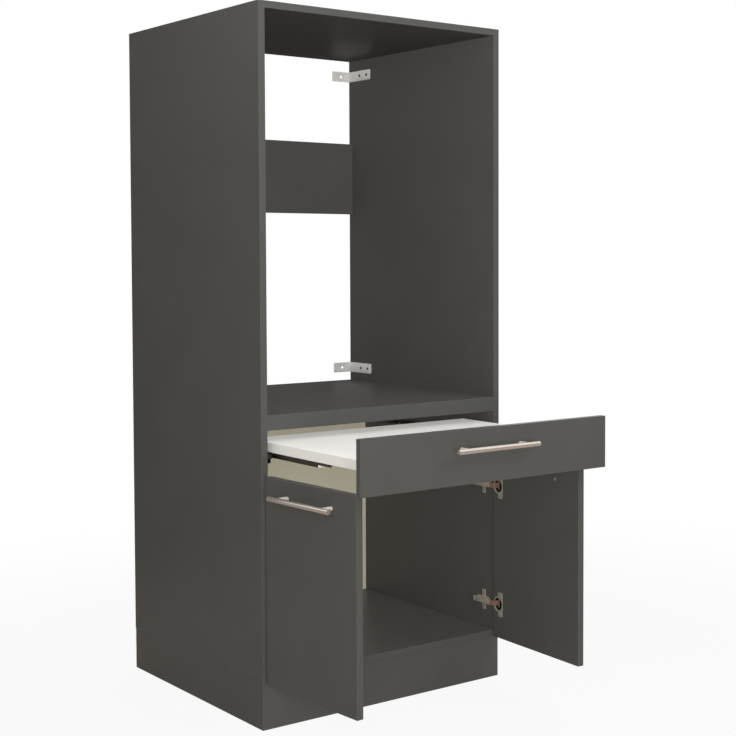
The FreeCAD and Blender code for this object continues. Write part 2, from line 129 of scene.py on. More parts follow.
# %% Wires and finishes
class Wire:
    """An output that takes part in sums, so that a finish reads like a formula."""

    def __init__(self, finish, socket):
        self.finish = finish
        self.socket = socket

    def worked(self, operation, first, second):
        return self.finish.node("ShaderNodeMath", {"operation": operation}, {0: first, 1: second})

    def __add__(self, other):
        return self.worked("ADD", self, other)

    def __radd__(self, other):
        return self.worked("ADD", other, self)

    def __sub__(self, other):
        return self.worked("SUBTRACT", self, other)

    def __rsub__(self, other):
        return self.worked("SUBTRACT", other, self)

    def __mul__(self, other):
        return self.worked("MULTIPLY", self, other)

    def __abs__(self):
        return self.worked("ABSOLUTE", self, 0.0)

    def least(self, other):
        return self.worked("MINIMUM", self, other)

    def most(self, other):
        return self.worked("MAXIMUM", self, other)


class Finish:
    """The nodes of a material, or of the world round the cabinet, under construction."""

    def __init__(self, name, kind="materials", end="ShaderNodeOutputMaterial"):
        self.owner = getattr(bpy.data, kind).new(name)
        self.owner.use_nodes = True
        self.tree = self.owner.node_tree
        self.tree.nodes.clear()
        self.end = self.tree.nodes.new(end)

    def node(self, kind, settings=None, sockets=None, output=0):
        made = self.tree.nodes.new(kind)
        for key, value in (settings or {}).items():
            setattr(made, key, value)
        for key, value in (sockets or {}).items():
            if isinstance(value, Wire):
                self.tree.links.new(value.socket, made.inputs[key])
            else:
                made.inputs[key].default_value = value
        return Wire(self, made.outputs[output])

    def surface(self, shader):
        self.tree.links.new(shader.socket, self.end.inputs["Surface"])
        return self.owner


print("finishes can be written as formulas")

# %% [markdown]
# ## Textures that every finish needs
# A cabinet is measured in millimetres, so the helpers take a feature's size in millimetres.
# Patterns follow the piece itself: the doors stand open, so their patterns are turned by the same
# angle as the door.

# %% Texture helpers
MIX_A = 6
MIX_B = 7
MIX_RESULT = 2


def place(finish, centre=(0, 0, 0), turn=0.0, stretch=(1, 1, 1)):
    """The piece's own coordinates, from a centre, turned with a door and stretched along its axes."""
    where = finish.node("ShaderNodeTexCoord", output=3)
    sockets = {"Vector": where, "Location": centre, "Rotation": (0, 0, turn), "Scale": stretch}
    return finish.node("ShaderNodeMapping", {"vector_type": "TEXTURE"}, sockets)


def axes(finish, where):
    """A place as three wires: x, y and z."""
    return [finish.node("ShaderNodeSeparateXYZ", None, {"Vector": where}, output) for output in range(3)]


def noise(finish, where, size, detail=2.0):
    """Soft random variation about the value 0.5, whose lumps are about this many millimetres across."""
    sockets = {"Vector": where, "Scale": 1 / (size * MM), "Detail": detail, "Roughness": 0.55}
    return finish.node("ShaderNodeTexNoise", None, sockets)


def cells(finish, where, size, output=0):
    """Cells of about this many millimetres: output 0 is the distance to a cell's middle, 1 its own colour."""
    return finish.node("ShaderNodeTexVoronoi", None, {"Vector": where, "Scale": 1 / (size * MM)}, output)


def step(finish, value, start, end, low=0.0, high=1.0):
    """A smooth step from low to high while the value goes from start to end."""
    sockets = {"Value": value, "From Min": start, "From Max": end, "To Min": low, "To Max": high}
    return finish.node("ShaderNodeMapRange", {"interpolation_type": "SMOOTHSTEP"}, sockets)


def mix(finish, share, first, second):
    """A colour between two colours."""
    sockets = {0: share, MIX_A: first, MIX_B: second}
    return finish.node("ShaderNodeMix", {"data_type": "RGBA"}, sockets, MIX_RESULT)


def bump(finish, height, depth, strength):
    """Relief whose highest point stands this many millimetres above its lowest."""
    sockets = {"Height": height, "Distance": depth * MM, "Strength": strength}
    return finish.node("ShaderNodeBump", None, sockets)


def shade(grey_or_rgb):
    """A colour as it is named on a colour card, from 0 to 255, as light."""
    rgb = grey_or_rgb if isinstance(grey_or_rgb, tuple) else (grey_or_rgb,) * 3
    return tuple((c / 255 / 12.92 if c < 10.3 else ((c / 255 + 0.055) / 1.055) ** 2.4) for c in rgb) + (1.0,)


def principled(finish, sockets):
    return finish.surface(finish.node("ShaderNodeBsdfPrincipled", None, sockets))


print("white is", [round(c, 2) for c in shade(255)[:3]])

# %% [markdown]
# ## Where a door stands
# Both doors hang open. The angle is in the hinge's range: a door closes by turning back through all
# of it. A piece on a door can then be modelled as if the door were shut, and turned with it.

# %% Door angles
joints = {joint["name"]: joint for joint in frame["joints"]}


def door_turn(side):
    """How far a door stands open, as a turn about the upright axis."""
    joint = joints[side + "_door_hinge"]
    return radians(-joint["range_deg"][0]) * joint["axis"][2]


turns = {"left": door_turn("left"), "right": door_turn("right")}


def turn_of(node):
    """The turn of the body that carries this node: a door's, or none."""
    body = nodes[node]["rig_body"]
    return turns[body[:-len("_door")]] if body.endswith("_door") else 0.0


def spread(points):
    """The lowest and the highest corner of some points."""
    low = Vector([min(p[i] for p in points) for i in range(3)])
    high = Vector([max(p[i] for p in points) for i in range(3)])
    return low, high


def unturned_box(node):
    """The centre of a node, and its half sizes along its own axes."""
    turn = turn_of(node)
    back = Matrix.Rotation(-turn, 3, "Z")
    low, high = spread([back @ v.co for v in nodes[node].data.vertices])
    return Matrix.Rotation(turn, 3, "Z") @ ((low + high) / 2), (high - low) / 2


print("doors stand at", {side: round(turn * 180 / pi) for side, turn in turns.items()}, "degrees")

# %% [markdown]
# ## Coated board
# The carcass, the doors and the front are chipboard with a printed, resin-coated paper on both
# faces and a plastic edging glued round the cut edges. One picture of such a board would not fit
# fourteen sizes, so the finish works out, at each point, how far it is from the board's edges. The
# edging is a strip of its own tone with a thin glue line beside it. The corners are lighter: partly
# wear, and partly a painted highlight where a rounded edge would catch the light. The coating has a
# fine pearl that breaks up its shine.

# %% Coated board
EDGING = 0.9 * MM
GLUE_LINE = 0.12 * MM
WEAR_AND_HIGHLIGHT_START = 1.5 * MM
WEAR_AND_HIGHLIGHT_FULL = 0.5 * MM
WEAR_AND_HIGHLIGHT_UNEVEN = 0.8 * MM


def coated_board(node, look):
    """A finish for one board, with edging on its four narrow sides."""
    finish = Finish(node + "_" + look["name"])
    centre, half = unturned_box(node)
    where = place(finish, centre, turn_of(node))
    to_side = [half[i] - abs(axis) for i, axis in enumerate(axes(finish, where))]
    thin = min(range(3), key=lambda i: half[i])
    across, along = [to_side[i] for i in range(3) if i != thin]
    to_rim = across.least(along)
    second = to_rim.most(to_side[thin].least(across.most(along)))
    edging = step(finish, to_rim, EDGING + GLUE_LINE, EDGING)
    glue = step(finish, abs(to_rim - EDGING), GLUE_LINE, 0.0, 0.0, 0.5)
    # Lighter corners: partly wear, and partly a painted highlight where a rounded edge would catch the light.
    uneven = second + noise(finish, where, 9.0) * WEAR_AND_HIGHLIGHT_UNEVEN
    worn_and_highlit = step(finish, uneven, WEAR_AND_HIGHLIGHT_START, WEAR_AND_HIGHLIGHT_FULL, 0.0, look["wear_and_highlight_share"])
    speckle = noise(finish, where, 1.1, 1.0)
    cloud = noise(finish, where, 160.0, 3.0)
    face = mix(finish, speckle * 0.6 + cloud * 0.7 - 0.15, look["dark"], look["light"])
    colour = mix(finish, edging, face, look["edging"])
    colour = mix(finish, glue, colour, look["glue"])
    colour = mix(finish, worn_and_highlit, colour, look["worn_and_highlit"])
    pearl = cells(finish, where, 0.9)
    roughness = look["roughness"] + (cloud - 0.5) * 0.10 + (speckle - 0.5) * 0.08 - edging * 0.05
    return principled(finish, {"Base Color": colour, "Roughness": roughness,
                               "Specular IOR Level": look["shine"],
                               "Normal": bump(finish, pearl, 0.012, 0.5)})


# The lighter corner colour in each look is wear and a painted edge highlight.
anthracite = {
    "name": "anthracite", "dark": shade((67, 66, 64)), "light": shade((77, 76, 74)),
    "edging": shade((71, 71, 70)), "glue": shade((50, 49, 48)), "worn_and_highlit": shade((96, 96, 94)),
    "roughness": 0.36, "shine": 0.12, "wear_and_highlight_share": 0.35,
}
white = {
    "name": "white", "dark": shade((232, 231, 229)), "light": shade((243, 242, 240)),
    "edging": shade((216, 213, 209)), "glue": shade((176, 172, 166)), "worn_and_highlit": shade((236, 236, 235)),
    "roughness": 0.34, "shine": 0.4, "wear_and_highlight_share": 0.2,
}
anthracite_boards = [
    "left_side_panel", "right_side_panel", "top_panel", "niche_floor", "back_rail", "bottom_panel",
    "plinth_front", "left_plinth_board", "right_plinth_board", "plinth_back",
    "pull_out_front", "left_door", "right_door",
]


def dress(node, material):
    """Give a solid its finish, in place of the plain one that it came with."""
    nodes[node].data.materials.clear()
    nodes[node].data.materials.append(material)


for node in anthracite_boards:
    dress(node, coated_board(node, anthracite))
dress("pull_out_shelf", coated_board("pull_out_shelf", white))
print(len(anthracite_boards), "anthracite boards and a white shelf")

# %% [markdown]
# ## The pale back panel
# The lower back is thin fibreboard, painted cream on the side that faces the cupboard. Its surface
# shows pressed fibres: short soft strokes, with a flat sheen. Stretching a noise along one axis
# makes such strokes.


# %% Fibreboard
def fibreboard():
    finish = Finish("cream_fibreboard")
    where = place(finish, stretch=(4, 4, 1))
    fibre = noise(finish, where, 1.6, 3.0)
    cloud = noise(finish, place(finish), 120.0)
    colour = mix(finish, fibre * 0.6 + cloud * 0.4, shade((176, 170, 149)), shade((202, 197, 178)))
    return principled(finish, {"Base Color": colour, "Roughness": 0.5 + fibre * 0.2,
                               "Normal": bump(finish, fibre, 0.03, 0.5)})


dress("lower_back_panel", fibreboard())
print("back panel in", nodes["lower_back_panel"].data.materials[0].name)

# %% [markdown]
# ## Metals and plastics
# Each metal has its own way of being uneven. The handles are brushed along the bar, so their
# streaks are noise stretched along it, and their posts are satin. Galvanised brackets show zinc
# crystals, which are cells of slightly different grey. Plated hinges and screws are smooth, with a
# cloudy shine. Moulded plastic has a fine orange-peel surface.


# %% Metals
def brushed_steel(name, turn):
    finish = Finish(name)
    along = place(finish, turn=turn, stretch=(60, 1, 1))
    streak = noise(finish, along, 0.5, 3.0)
    smudge = noise(finish, place(finish), 14.0)
    colour = mix(finish, streak, shade((192, 180, 171)), shade((236, 227, 219)))
    return principled(finish, {"Base Color": colour, "Metallic": 0.85,
                               "Roughness": 0.12 + streak * 0.12 + smudge * 0.05,
                               "Normal": bump(finish, streak, 0.01, 0.4)})


def galvanised(name):
    finish = Finish(name)
    where = place(finish)
    crystal = cells(finish, where, 5.0, 1)
    frost = noise(finish, where, 1.2, 3.0)
    tone = axes(finish, crystal)[0]
    colour = mix(finish, tone * 0.7 + frost * 0.3, shade((196, 196, 194)), shade((216, 216, 213)))
    return principled(finish, {"Base Color": colour, "Metallic": 0.25,
                               "Roughness": 0.44 + tone * 0.12 + frost * 0.1,
                               "Normal": bump(finish, frost, 0.015, 0.4)})


def plated(name, dark, light, roughness, metallic=1.0, tint_and_painted_shade=None):
    """Plated steel. A tint is a second colour, and a function that says where it lies: the coppery link of a
    hinge arm, and the painted shade in a cup's hollow.
    """
    finish = Finish(name)
    where = place(finish)
    cloud = noise(finish, where, 6.0, 3.0)
    scratch = noise(finish, place(finish, stretch=(1, 12, 1)), 0.5)
    colour = mix(finish, cloud, shade(dark), shade(light))
    if tint_and_painted_shade:
        colour = mix(finish, tint_and_painted_shade[1](finish), colour, shade(tint_and_painted_shade[0]))
    return principled(finish, {"Base Color": colour, "Metallic": metallic,
                               "Roughness": roughness + cloud * 0.14 + scratch * 0.08,
                               "Normal": bump(finish, scratch, 0.006, 0.4)})


def moulded(name, dark, light, roughness):
    finish = Finish(name)
    where = place(finish)
    peel = noise(finish, where, 0.8)
    cloud = noise(finish, where, 12.0)
    colour = mix(finish, cloud * 0.7 + peel * 0.3, shade(dark), shade(light))
    return principled(finish, {"Base Color": colour, "Roughness": roughness + peel * 0.15,
                               "Normal": bump(finish, peel, 0.02, 0.5)})


def beech(name):
    finish = Finish(name)
    grain = noise(finish, place(finish, stretch=(14, 1, 1)), 0.7, 4.0)
    colour = mix(finish, grain, shade((176, 134, 92)), shade((214, 178, 134)))
    return principled(finish, {"Base Color": colour, "Roughness": 0.5 + grain * 0.2,
                               "Normal": bump(finish, grain, 0.05, 0.5)})


def nickel(name, tint_and_painted_shade=None):
    return plated(name, (146, 139, 127), (182, 175, 162), 0.32, 0.45, tint_and_painted_shade)


finishes = {
    "galvanised_steel": galvanised("galvanised_zinc"),
    "nickel_plate": nickel("dull_nickel"),
    "zinc_screws": plated("dull_zinc", (132, 132, 128), (166, 166, 162), 0.34, 0.6),
    "runner_steel": plated("grey_runner_steel", (84, 84, 82), (112, 112, 109), 0.36),
    "white_nylon": moulded("moulded_nylon", (214, 212, 206), (232, 231, 227), 0.35),
    "black_plastic": moulded("moulded_black", (20, 20, 21), (34, 34, 35), 0.4),
    "beech": beech("beech_grain"),
}
blackened = plated("blackened_screws", (44, 43, 41), (66, 65, 62), 0.36, 0.6)
handle_steel = {side: brushed_steel(side + "_handle_steel", turn) for side, turn in turns.items()}
handle_steel["pull_out"] = brushed_steel("pull_out_handle_steel", 0.0)
post_steel = plated("satin_posts", (198, 189, 180), (226, 218, 210), 0.36, 0.35)
print(len(finishes) + len(handle_steel), "metals, plastics and woods")

# %% [markdown]
# ## Which solid has which finish
# Each solid came with the name of its material slot. The boards are dressed already, so the rest
# take the finish of their slot.

# %% Dress the hardware
for node, slot in slot_of.items():
    if slot in finishes:
        dress(node, finishes[slot])
    elif slot == "brushed_handle":
        dress(node, handle_steel[node.split("_door")[0] if "door" in node else "pull_out"])
print(sorted(set(slot_of.values())))

# %% [markdown]
# ## Tools for modelling by hand
# Operators act on whatever is selected, so each step first clears the selection, opens one piece
# for editing and then picks faces or edges by where they are. A finished piece gets its name, its
# finish, the body that it rides on and the solids that it stands for.

# %% Modelling tools
TINY = 0.01 * MM
SHARP = radians(40)
SMOOTH = radians(35)
SQUARE_ON = 0.99


@contextmanager
def editing(piece):
    """Work on one piece, with nothing selected at the start."""
    bpy.ops.object.select_all(action="DESELECT")
    piece.select_set(True)
    bpy.context.view_layer.objects.active = piece
    bpy.ops.object.mode_set(mode="EDIT")
    bpy.ops.mesh.select_all(action="DESELECT")
    yield
    bpy.ops.object.mode_set(mode="OBJECT")


def pick(piece, kind, wanted):
    """Select the faces, edges or corners that pass a test, and nothing else."""
    bpy.ops.mesh.select_mode(type=kind)
    bpy.ops.mesh.select_all(action="DESELECT")
    mesh = bmesh.from_edit_mesh(piece.data)
    for part in {"FACE": mesh.faces, "EDGE": mesh.edges, "VERT": mesh.verts}[kind]:
        if wanted(part):
            part.select_set(True)
    bmesh.update_edit_mesh(piece.data)


def ends_where(test):
    """A test for edges: both ends pass."""
    return lambda edge: all(test(corner.co) for corner in edge.verts)


def settled():
    """The piece just made, with its place and size kept in its mesh."""
    bpy.ops.object.transform_apply(location=True, rotation=True, scale=True)
    return bpy.context.object


def cylinder(radius, length, middle=(0, 0, 0), rotation=(0, 0, 0), sides=48):
    bpy.ops.object.select_all(action="DESELECT")
    bpy.ops.mesh.primitive_cylinder_add(vertices=sides, radius=radius, depth=length,
                                        location=middle, rotation=rotation)
    return settled()


def block(size, middle):
    bpy.ops.object.select_all(action="DESELECT")
    bpy.ops.mesh.primitive_cube_add(size=1, location=middle)
    bpy.context.object.scale = size
    return settled()


def use_modifier(piece, kind, **settings):
    """Add a modifier to a piece and apply it."""
    bpy.ops.object.select_all(action="DESELECT")
    piece.select_set(True)
    bpy.context.view_layer.objects.active = piece
    modifier = piece.modifiers.new(kind.lower(), kind)
    for key, value in settings.items():
        setattr(modifier, key, value)
    bpy.ops.object.modifier_apply(modifier=modifier.name)


def carve(piece, cutter, operation="DIFFERENCE"):
    """Cut one piece with another, or join them into one skin, and throw the cutter away."""
    use_modifier(piece, "BOOLEAN", object=cutter, operation=operation, solver="EXACT")
    bpy.data.objects.remove(cutter)


def ease(piece, width):
    """Round every sharp edge."""
    use_modifier(piece, "BEVEL", width=width, segments=2, limit_method="ANGLE",
                 angle_limit=SHARP, use_clamp_overlap=True)


def copied(piece, matrix):
    """A copy with its own mesh, moved to its place."""
    copy = bpy.data.objects.new(piece.name, piece.data.copy())
    bpy.context.scene.collection.objects.link(copy)
    copy.data.transform(matrix)
    return copy


def joined(pieces):
    """Many pieces as one."""
    bpy.ops.object.select_all(action="DESELECT")
    for piece in pieces:
        piece.select_set(True)
    bpy.context.view_layer.objects.active = pieces[0]
    if len(pieces) > 1:
        bpy.ops.object.join()
    return pieces[0]


def stand_for(piece, node, material):
    """Finish a piece: outward faces, smooth rounds, and the solid that it stands for."""
    with editing(piece):
        bpy.ops.mesh.select_all(action="SELECT")
        bpy.ops.mesh.remove_doubles(threshold=TINY / 10)
        bpy.ops.mesh.normals_make_consistent(inside=False)
    bpy.ops.object.shade_smooth_by_angle(angle=SMOOTH)
    piece.name = node + "_detailed"
    piece.data.name = piece.name
    piece.data.materials.clear()
    piece.data.materials.append(material)
    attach(piece, nodes[node]["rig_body"])
    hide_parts(node)
    print(piece.name, len(piece.data.polygons), "faces")


print("edges over", round(SHARP * 180 / pi), "degrees are sharp")

# %% [markdown]
# ## Separate solids inside one node
# A set of screws is one node that holds many separate solids. Each one has to be found again before
# a better screw can take its place: we walk from corner to corner along the edges, and whatever can
# be reached is one solid.


# %% Find the solids
def solids_in(node):
    """The corner points of each separate solid in a node, turned back as if the doors were shut."""
    back = Matrix.Rotation(-turn_of(node), 3, "Z")
    mesh = bmesh.new()
    mesh.from_mesh(nodes[node].data)
    bmesh.ops.remove_doubles(mesh, verts=mesh.verts, dist=TINY / 10)
    waiting = set(mesh.verts)
    found = []
    while waiting:
        reached = [waiting.pop()]
        for corner in reached:
            near = [edge.other_vert(corner) for edge in corner.link_edges]
            reached += [other for other in near if other in waiting]
            waiting -= set(near)
        found.append([back @ corner.co for corner in reached])
    mesh.free()
    return found


print(len(solids_in("hinge_plate_screws")), "screws hold the hinge plates and arms")

# %% [markdown]
# ## Bar handles
# A bar handle is a steel tube closed by a plug at each end, on two posts. A cylinder is the start:
# its rims are eased, and a fine groove on each end shows where the plug sits. The posts are cut to
# the round of the bar, as a saddle, so that no gap shows under it. The handle is modelled once,
# along X, and copied to the three fronts.

# %% Handle
END_EASE = 0.9 * MM
TUBE_WALL = 1.4 * MM
PLUG_GROOVE = 0.25 * MM
FOOT_EASE = 0.4 * MM
bar_low, bar_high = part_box("pull_out_handle_bar")
post_low, post_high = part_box("pull_out_handle_posts")
bar_length = bar_high.x - bar_low.x
bar_radius = (bar_high.z - bar_low.z) / 2
post_radius = (post_high.z - post_low.z) / 2
post_spacing = post_high.x - post_low.x - 2 * post_radius
handle_reach = post_high.y - (bar_low.y + bar_high.y) / 2


def handle_bar():
    bar = cylinder(bar_radius, bar_length, rotation=(0, pi / 2, 0))
    with editing(bar):
        pick(bar, "EDGE", lambda edge: abs(edge.verts[0].co.x - edge.verts[1].co.x) < TINY)
        bpy.ops.mesh.bevel(offset=END_EASE, segments=3, affect="EDGES")
        pick(bar, "FACE", lambda face: abs(face.normal.x) > SQUARE_ON)
        bpy.ops.mesh.inset(thickness=TUBE_WALL)
        bpy.ops.mesh.inset(thickness=PLUG_GROOVE, depth=-PLUG_GROOVE)
        bpy.ops.mesh.inset(thickness=PLUG_GROOVE, depth=PLUG_GROOVE)
    return bar


def handle_post():
    post = cylinder(post_radius, handle_reach, (0, handle_reach / 2, 0), (pi / 2, 0, 0), 40)
    with editing(post):
        pick(post, "EDGE", ends_where(lambda at: at.y > handle_reach - TINY))
        bpy.ops.mesh.bevel(offset=FOOT_EASE, segments=2, affect="EDGES")
    carve(post, cylinder(bar_radius, bar_length, rotation=(0, pi / 2, 0), sides=96))
    return post


bar_model = handle_bar()
post_model = handle_post()
for owner, turn in (("pull_out", 0.0), ("left_door", turns["left"]), ("right_door", turns["right"])):
    centre = unturned_box(owner + "_handle_bar")[0]
    at = Matrix.Translation(centre) @ Matrix.Rotation(turn, 4, "Z")
    steel = handle_steel[owner.split("_door")[0]]
    stand_for(copied(bar_model, at), owner + "_handle_bar", steel)
    posts = [copied(post_model, at @ Matrix.Translation((side * post_spacing / 2, 0, 0))) for side in (-1, 1)]
    stand_for(joined(posts), owner + "_handle_posts", post_steel)
for model in (bar_model, post_model):
    bpy.data.objects.remove(model)

# %% [markdown]
# ## Cross-head screws
# A screw head is a low dome with a cross pressed into it. The dome is a cylinder whose upper rim is
# beveled over half its height. The cross is a grid of three by three squares without its corners,
# drawn down and narrowed, and subtracted from the head. Each size is modelled once, and copies go
# where the plain screws are.

# %% Screws
CROSS_REACH = 0.58
CROSS_NARROW = 0.54
CROSS_DEPTH = 0.7
CROSS_TAPER = 0.6
POINT_SHARE = 0.2
POINT_WIDTH = 0.3
HEAD_SHARE = 0.8


def cross_cutter(head, height):
    """A tapered plus sign that stands out of the head's top."""
    reach = head * CROSS_REACH
    bpy.ops.object.select_all(action="DESELECT")
    bpy.ops.mesh.primitive_grid_add(x_subdivisions=3, y_subdivisions=3, size=2 * reach,
                                    location=(0, 0, height + TINY))
    cross = settled()
    with editing(cross):
        for axis, narrow in enumerate(((CROSS_NARROW, 1, 1), (1, CROSS_NARROW, 1))):
            pick(cross, "VERT", lambda corner: abs(corner.co[axis]) < reach / 2)
            bpy.ops.transform.resize(value=narrow)
        pick(cross, "FACE", lambda face: min(abs(face.calc_center_median()[i]) for i in range(2)) > TINY)
        bpy.ops.mesh.delete(type="FACE")
        bpy.ops.mesh.select_all(action="SELECT")
        bpy.ops.mesh.extrude_region_move(TRANSFORM_OT_translate={"value": (0, 0, -height * CROSS_DEPTH)})
        bpy.ops.transform.resize(value=(CROSS_TAPER, CROSS_TAPER, 1))
        bpy.ops.mesh.select_all(action="SELECT")
        bpy.ops.mesh.normals_make_consistent(inside=False)
    return cross


def crosshead(head, height, shank, length):
    """A screw that stands upright, with the underside of its head at the origin."""
    screw = cylinder(head, height, (0, 0, height / 2), sides=28)
    with editing(screw):
        pick(screw, "EDGE", ends_where(lambda at: at.z > height - TINY))
        bpy.ops.mesh.bevel(offset=height / 2, segments=3, affect="EDGES")
        pick(screw, "FACE", lambda face: face.normal.z < -SQUARE_ON)
        bpy.ops.mesh.inset(thickness=head - shank)
        for share, width in ((1 - POINT_SHARE, 1.0), (POINT_SHARE, POINT_WIDTH)):
            bpy.ops.mesh.extrude_region_move(TRANSFORM_OT_translate={"value": (0, 0, -length * share)})
            bpy.ops.transform.resize(value=(width, width, 1))
    carve(screw, cross_cutter(head, height))
    return screw


def measured(points):
    """A screw's place, the way its head faces, and its four sizes."""
    low, high = spread(points)
    along = max(range(3), key=lambda i: high[i] - low[i])
    middle = (low + high) / 2

    def from_axis(point):
        return hypot(*[point[i] - middle[i] for i in range(3) if i != along])

    head = max(from_axis(p) for p in points)
    wide = [p[along] for p in points if from_axis(p) > HEAD_SHARE * head]
    shank = max(from_axis(p) for p in points if not min(wide) - TINY < p[along] < max(wide) + TINY)
    faces_up = (min(wide) + max(wide)) / 2 > middle[along]
    facing = Vector([(1 if faces_up else -1) if i == along else 0 for i in range(3)])
    middle[along] = min(wide) if faces_up else max(wide)
    height = max(wide) - min(wide)
    return middle, facing, (head, height, shank, high[along] - low[along] - height)


screw_finishes = {"wall_bracket_screws": blackened}
screw_models = {}
screw_nodes = [node for node in nodes if node.endswith("screws")]
for node in screw_nodes:
    turned = Matrix.Rotation(turn_of(node), 4, "Z")
    copies = []
    for points in solids_in(node):
        place_at, facing, sizes = measured(points)
        size_name = tuple(round(size / MM, 1) for size in sizes)
        if size_name not in screw_models:
            screw_models[size_name] = crosshead(*sizes)
        upright = facing.to_track_quat("Z", "Y").to_matrix().to_4x4()
        copies.append(copied(screw_models[size_name], turned @ Matrix.Translation(place_at) @ upright))
    stand_for(joined(copies), node, screw_finishes.get(node, finishes["zinc_screws"]))
for model in screw_models.values():
    bpy.data.objects.remove(model)
print("screw sizes in mm:", sorted(screw_models))

# %% [markdown]
# ## Wall brackets
# A bracket is a steel strip, bent once, with a hole for the wall bolt. A strip has the same section
# from end to end, so it is drawn out: one face pulled along the side panel, spun through the bend,
# and pulled along the wall. The outer corners are rounded, and the hole is cut last.

# %% Brackets
SHEET = 2 * MM
BEND_RADIUS = 1.6 * MM
CORNER_RADIUS = 3 * MM
BRACKET_EASE = 0.25 * MM
WALL_HOLE_RADIUS = 4.25 * MM
WALL_HOLE_FROM_SIDE = 27.5 * MM
bracket_low, bracket_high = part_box("left_upper_wall_bracket")
side_leg = bracket_high.y - bracket_low.y
back_leg = bracket_high.x - bracket_low.x
strip_height = bracket_high.z - bracket_low.z


def wall_bracket():
    """A bracket whose outer corner is at the origin, with one leg towards -Y and one towards +X."""
    turn_at = SHEET + BEND_RADIUS
    bpy.ops.object.select_all(action="DESELECT")
    bpy.ops.mesh.primitive_plane_add(size=1, rotation=(pi / 2, 0, 0),
                                     location=(SHEET / 2, -side_leg, 0))
    strip = bpy.context.object
    strip.scale = (SHEET, strip_height, 1)
    strip = settled()
    at_side_end = ends_where(lambda at: at.y < -side_leg + TINY)
    at_back_end = ends_where(lambda at: at.x > back_leg - TINY)

    def at_outer_corner(edge):
        level = abs(edge.verts[0].co.z - edge.verts[1].co.z) < TINY
        return level and (at_side_end(edge) or at_back_end(edge))

    with editing(strip):
        bpy.ops.mesh.select_all(action="SELECT")
        bpy.ops.mesh.extrude_region_move(TRANSFORM_OT_translate={"value": (0, side_leg - turn_at, 0)})
        bpy.ops.mesh.spin(steps=8, angle=pi / 2, center=(turn_at, -turn_at, 0), axis=(0, 0, 1))
        bpy.ops.mesh.extrude_region_move(TRANSFORM_OT_translate={"value": (back_leg - turn_at, 0, 0)})
        pick(strip, "EDGE", at_outer_corner)
        bpy.ops.mesh.bevel(offset=CORNER_RADIUS, segments=4, affect="EDGES")
        bpy.ops.mesh.select_all(action="SELECT")
        bpy.ops.mesh.normals_make_consistent(inside=False)
    carve(strip, cylinder(WALL_HOLE_RADIUS, 4 * SHEET, (WALL_HOLE_FROM_SIDE, 0, 0), (pi / 2, 0, 0)))
    return strip


bracket_model = wall_bracket()
print("bracket", [round(c / MM, 1) for c in bracket_model.dimensions], "mm")
ease(bracket_model, BRACKET_EASE)
for level in ("upper", "lower"):
    for side, mirror in (("left", 1), ("right", -1)):
        node = side + "_" + level + "_wall_bracket"
        low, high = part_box(node)
        corner = Vector((low.x if mirror > 0 else high.x, high.y, (low.z + high.z) / 2))
        at = Matrix.Translation(corner) @ Matrix.Diagonal((mirror, 1, 1, 1))
        stand_for(copied(bracket_model, at), node, finishes["galvanised_steel"])
bpy.data.objects.remove(bracket_model)

# %% [markdown]
# ## Hinge cups
# A concealed hinge sits in a round hole in the door. Its cup is deep drawn from sheet: a hollow, a
# flat rim, and a plate beside it whose two ears take the screws. Three simple forms are merged into
# one skin, the hollow is cut out of it, and all sharp edges are eased, which is what catches the
# light.

# %% Cups
RIM_RADIUS = 18.5 * MM
CUP_DEPTH = 14 * MM
CUP_RIM = 1 * MM
CUP_WALL = 1.5 * MM
CUP_FLOOR = 0.6 * MM
CUP_SIDES = 56
EAR_CORNER = 4 * MM
CUP_EASE = 0.2 * MM
# The cup's hollow is darkened with depth: painted shade, not a colour of the nickel.
PAINTED_HOLLOW_SHADE = (22, 20, 18)
HOLLOW_SHADE_FADE = 4 * MM
cup_low, cup_high = spread(solids_in("left_hinge_cups")[0])
ear_width = cup_high.x - cup_low.x - RIM_RADIUS
ear_height = cup_high.z - cup_low.z


def hinge_cup():
    """A cup whose rim lies on the plane y = 0 and looks along +Y, with its ears towards +X."""
    lying = (pi / 2, 0, 0)
    body_length = CUP_DEPTH + CUP_RIM / 2
    cup = cylinder(RIM_RADIUS - CUP_RIM, body_length, (0, body_length / 2 - CUP_DEPTH, 0), lying, CUP_SIDES)
    rim = cylinder(RIM_RADIUS, CUP_RIM, (0, CUP_RIM / 2, 0), lying, CUP_SIDES)
    ears = block((ear_width, CUP_RIM, ear_height), (ear_width / 2, CUP_RIM / 2, 0))
    with editing(ears):
        pick(ears, "EDGE", lambda edge: abs(edge.verts[0].co.y - edge.verts[1].co.y) > TINY)
        bpy.ops.mesh.bevel(offset=EAR_CORNER, segments=5, affect="EDGES")
    carve(rim, ears, "UNION")
    carve(cup, rim, "UNION")
    hollow_middle = (0, CUP_FLOOR, 0)
    carve(cup, cylinder(RIM_RADIUS - CUP_RIM - CUP_WALL, 2 * CUP_DEPTH, hollow_middle, lying, CUP_SIDES))
    return cup


def hollow_shade_of(node, door_back):
    """Says where the cup lies deeper than the door's back: there its colour is darkened as painted shade."""
    def deep(finish):
        inwards = axes(finish, place(finish, turn=turn_of(node)))[1]
        return step(finish, inwards, door_back, door_back - HOLLOW_SHADE_FADE)
    return deep


